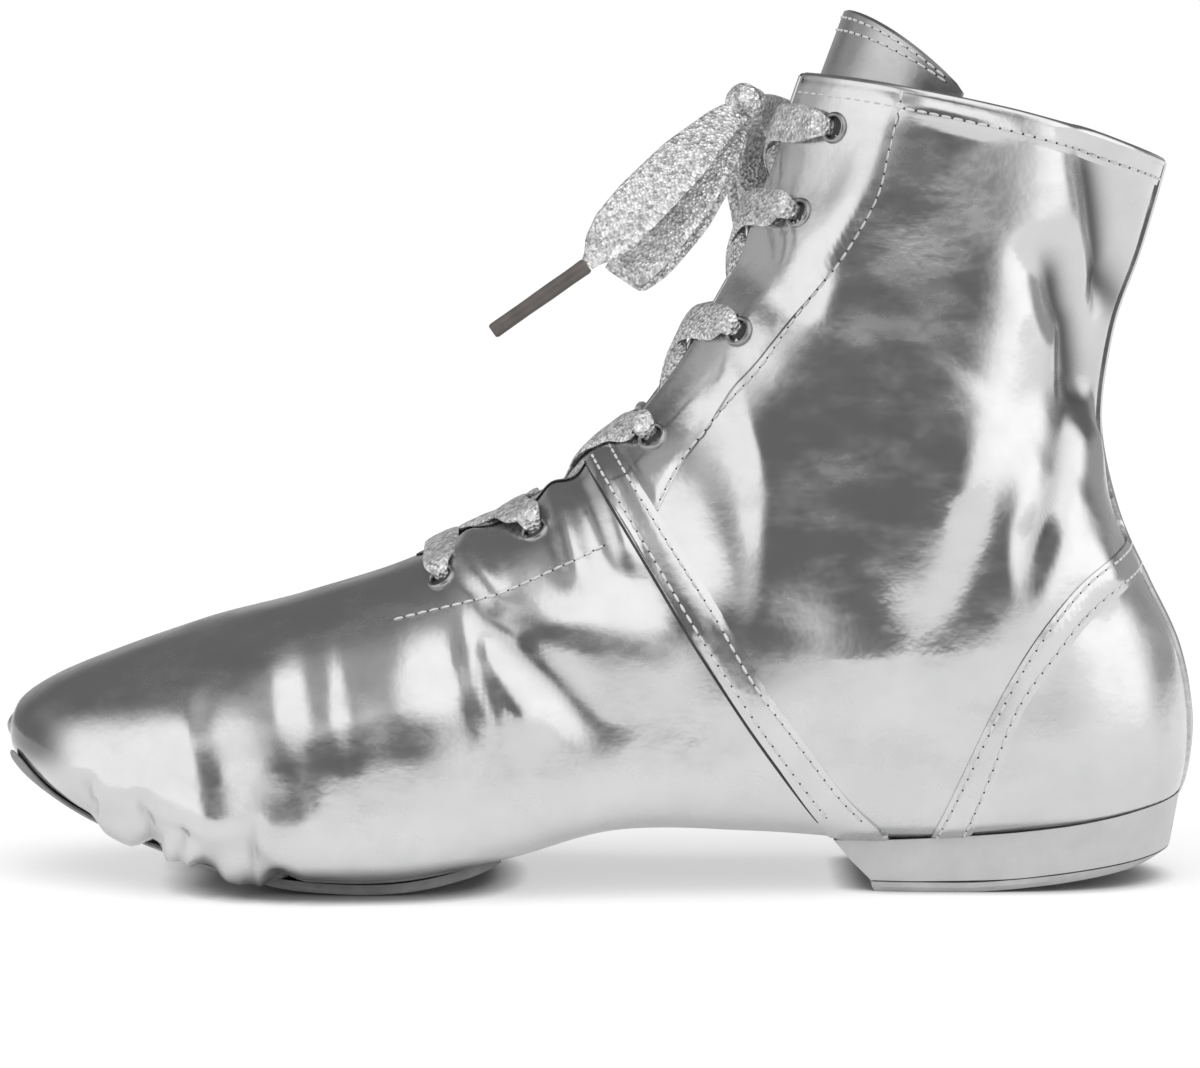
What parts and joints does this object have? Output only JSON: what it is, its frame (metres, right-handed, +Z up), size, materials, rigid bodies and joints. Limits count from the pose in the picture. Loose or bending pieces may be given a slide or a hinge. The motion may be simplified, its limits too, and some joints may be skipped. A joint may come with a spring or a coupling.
{
  "type": "jazz boot",
  "caption": "Left ankle-high jazz dance boot with a split sole, low wedge heel, lace-up throat with eyelets, tongue and flat lace tied in a bow.",
  "frame": {"origin": "middle of the boot's box on the floor, bow left out", "axes": "+X towards the toe, +Y towards the outer side of the foot, +Z up"},
  "size_m": [0.2488, 0.0842, 0.1812],
  "materials": {
    "silver_upper": "metallic silver foil, glossy",
    "silver_band": "metallic silver foil, glossy",
    "silver_tongue": "metallic silver foil, glossy",
    "insole_lining": "matt",
    "sole_patch": "matt",
    "heel_grey": "satin light grey",
    "heel_rubber": "matt",
    "eyelet_metal": "bright",
    "lace_lurex": "glittering metallic thread",
    "aglet_plastic": "satin dark"
  },
  "bodies": {
    "root": {"upper": "silver_upper", "insole": "insole_lining", "forefoot_sole": "sole_patch", "heel_block": "heel_grey", "heel_top_piece": "heel_rubber", "tongue": "silver_tongue", "band_outer": "silver_band", "band_inner": "silver_band", "heel_strap": "silver_band", "eyelet_outer_1": "eyelet_metal", "eyelet_outer_2": "eyelet_metal", "eyelet_outer_3": "eyelet_metal", "eyelet_outer_4": "eyelet_metal", "eyelet_outer_5": "eyelet_metal", "eyelet_outer_6": "eyelet_metal", "eyelet_inner_1": "eyelet_metal", "eyelet_inner_2": "eyelet_metal", "eyelet_inner_3": "eyelet_metal", "eyelet_inner_4": "eyelet_metal", "eyelet_inner_5": "eyelet_metal", "eyelet_inner_6": "eyelet_metal", "lace_bar": "lace_lurex", "lace_crossing_1": "lace_lurex", "lace_crossing_2": "lace_lurex", "lace_crossing_3": "lace_lurex", "lace_crossing_4": "lace_lurex", "lace_crossing_5": "lace_lurex", "lace_knot": "lace_lurex", "lace_loop_outer": "lace_lurex", "lace_loop_inner": "lace_lurex", "lace_end_outer": "lace_lurex", "lace_end_inner": "lace_lurex", "aglet_outer": "aglet_plastic", "aglet_inner": "aglet_plastic"}
  },
  "joints": []
}
